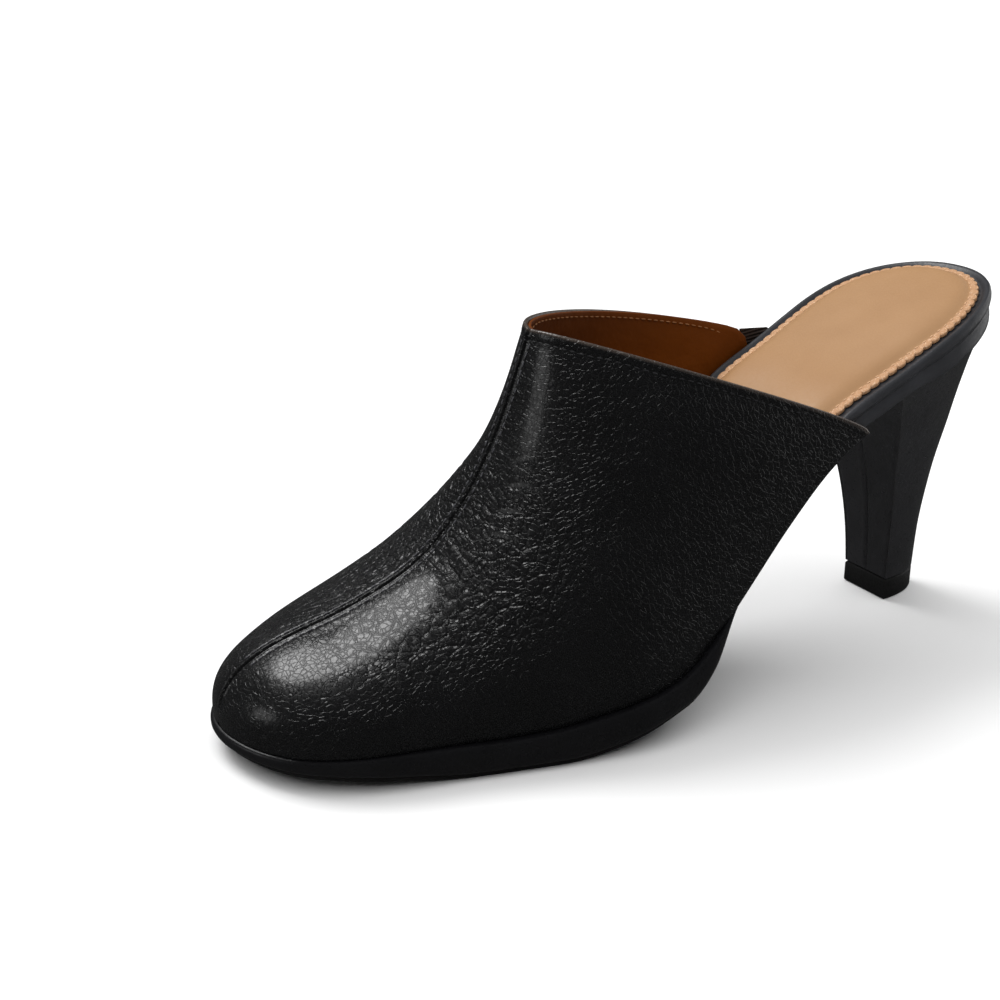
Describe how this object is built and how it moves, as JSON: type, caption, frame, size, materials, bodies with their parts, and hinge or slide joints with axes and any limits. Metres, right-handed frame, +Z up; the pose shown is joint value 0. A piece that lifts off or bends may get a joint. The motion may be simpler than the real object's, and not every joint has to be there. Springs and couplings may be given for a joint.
{
  "type": "closed toe mule",
  "caption": "Closed toe mule for the left foot: a high vamp with a front seam, a thin platform, an open back and a covered high heel.",
  "frame": {"origin": "centre of the heel's top piece, on the floor", "axes": "+X along the foot towards the toe, +Y towards the outer side of the left foot, +Z up"},
  "size_m": [0.2186, 0.0815, 0.0935],
  "materials": {
    "milled_leather": "black milled leather, creased over the vamp, semi gloss",
    "smooth_leather": "black smooth leather, satin",
    "sock_leather": "light tan leather, satin",
    "elastic": "dark ribbed elastic, matte",
    "sole_rubber": "black rubber, matte"
  },
  "bodies": {
    "root": {"seat_board": "smooth_leather", "outsole": "sole_rubber", "platform": "smooth_leather", "sock": "sock_leather", "sock_pad": "sock_leather", "upper": "milled_leather", "gore": "elastic", "heel": "smooth_leather", "heel_top_piece": "sole_rubber"}
  },
  "joints": []
}
